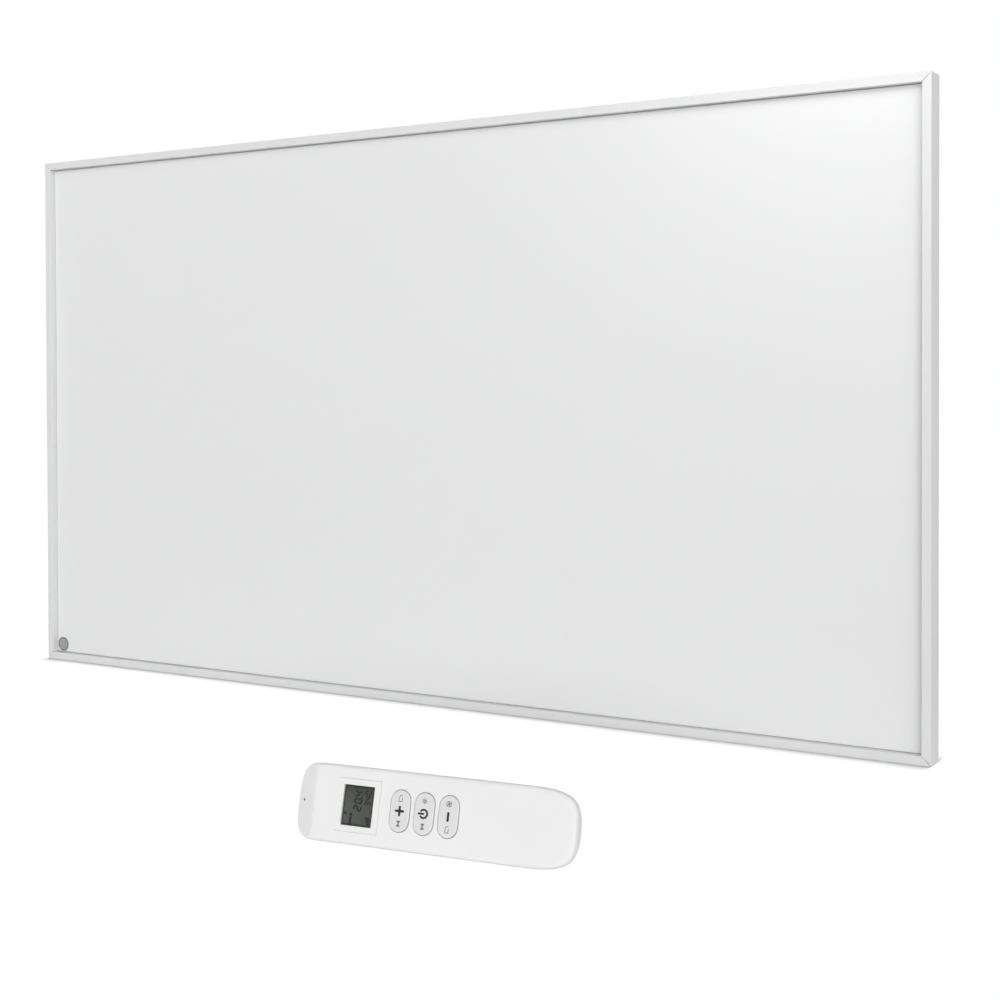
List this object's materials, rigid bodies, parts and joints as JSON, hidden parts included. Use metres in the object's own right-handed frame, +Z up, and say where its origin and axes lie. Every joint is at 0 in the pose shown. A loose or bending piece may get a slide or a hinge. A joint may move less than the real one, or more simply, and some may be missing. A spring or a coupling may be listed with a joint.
{
  "type": "infrared panel heater",
  "caption": "Flat white infrared wall heater: framed heated plate on keyhole hangers with a rear control box and rocker switch, and a hand remote with display and push buttons.",
  "frame": {"origin": "on the wall plane, behind the middle of the panel", "axes": "+X to the right along the panel, +Y from the heated face back into the wall, +Z up"},
  "size_m": [0.9, 0.4158, 0.5],
  "materials": {
    "white_powder_coat": "satin",
    "corner_key": "matte",
    "grey_disc": "satin",
    "mica_board": "matte",
    "carbon_track": "matte",
    "foil": "gloss",
    "mineral_wool": "matte",
    "galvanised_sheet": "satin",
    "bright_steel": "satin",
    "black_plastic": "satin",
    "circuit_green": "satin",
    "relay_blue": "gloss",
    "white_plastic": "satin",
    "red_lead": "satin",
    "blue_lead": "satin",
    "display_grey": "gloss",
    "grey_rubber": "matte",
    "battery_wrap": "gloss",
    "brass_contact": "satin"
  },
  "bodies": {
    "panel": {"rail_top": "white_powder_coat", "rail_right": "white_powder_coat", "rail_bottom": "white_powder_coat", "rail_left": "white_powder_coat", "front_plate": "white_powder_coat", "corner_key_top_right": "corner_key", "corner_key_bottom_right": "corner_key", "corner_key_bottom_left": "corner_key", "corner_key_top_left": "corner_key", "corner_disc": "grey_disc", "heating_board": "mica_board", "heating_track": "carbon_track", "reflector_foil": "foil", "insulation_board": "mineral_wool", "back_plate": "galvanised_sheet", "hanger_plate_top_left": "galvanised_sheet", "hanger_plate_top_right": "galvanised_sheet", "hanger_plate_bottom_left": "galvanised_sheet", "hanger_plate_bottom_right": "galvanised_sheet", "wall_stud_top_left": "bright_steel", "wall_stud_top_right": "bright_steel", "wall_stud_bottom_left": "bright_steel", "wall_stud_bottom_right": "bright_steel", "lid_screw_top_left": "bright_steel", "lid_screw_top_right": "bright_steel", "lid_screw_bottom_left": "bright_steel", "lid_screw_bottom_right": "bright_steel", "thermal_cutout": "bright_steel", "radio_receiver": "bright_steel", "control_box_base": "black_plastic", "control_box_lid": "black_plastic", "cable_gland": "black_plastic", "gland_nut": "black_plastic", "switch_housing": "black_plastic", "control_board": "circuit_green", "relay": "relay_blue", "terminal_block": "white_plastic", "lead_live": "red_lead", "lead_neutral": "blue_lead"},
    "rocker": {"switch_rocker": "black_plastic"},
    "remote": {"remote_front_shell": "white_plastic", "remote_back_shell": "white_plastic", "display_frame": "white_plastic", "display_glass": "display_grey", "display_module": "black_plastic", "keypad_mat": "grey_rubber", "remote_board": "circuit_green", "remote_sender": "black_plastic", "battery_lower": "battery_wrap", "battery_upper": "battery_wrap", "battery_spring_plate": "bright_steel", "battery_contact_plate": "brass_contact", "remote_screw_head": "bright_steel", "remote_screw_tail": "bright_steel"},
    "battery_cover": {"battery_door": "white_plastic"},
    "plus_button": {"button_plus": "white_plastic"},
    "power_button": {"button_power": "white_plastic"},
    "minus_button": {"button_minus": "white_plastic"}
  },
  "joints": [
    {"name": "switch_rock", "type": "hinge", "parent": "panel", "child": "rocker", "pos_m": [0.11, -0.0114, -0.2263], "axis": [0, 1, 0], "range_deg": [0, 20]},
    {"name": "remote_lift", "type": "slide", "parent": "panel", "child": "remote", "axis": [0, 0, 1], "range_m": [0, 0.15]},
    {"name": "battery_door_off", "type": "slide", "parent": "remote", "child": "battery_cover", "axis": [-0.1194, 0.9585, -0.2588], "range_m": [0, 0.02]},
    {"name": "plus_press", "type": "slide", "parent": "remote", "child": "plus_button", "axis": [-0.1194, 0.9585, -0.2588], "range_m": [0, 0.0008], "stiffness_N_per_m": 600},
    {"name": "power_press", "type": "slide", "parent": "remote", "child": "power_button", "axis": [-0.1194, 0.9585, -0.2588], "range_m": [0, 0.0008], "stiffness_N_per_m": 600},
    {"name": "minus_press", "type": "slide", "parent": "remote", "child": "minus_button", "axis": [-0.1194, 0.9585, -0.2588], "range_m": [0, 0.0008], "stiffness_N_per_m": 600}
  ]
}
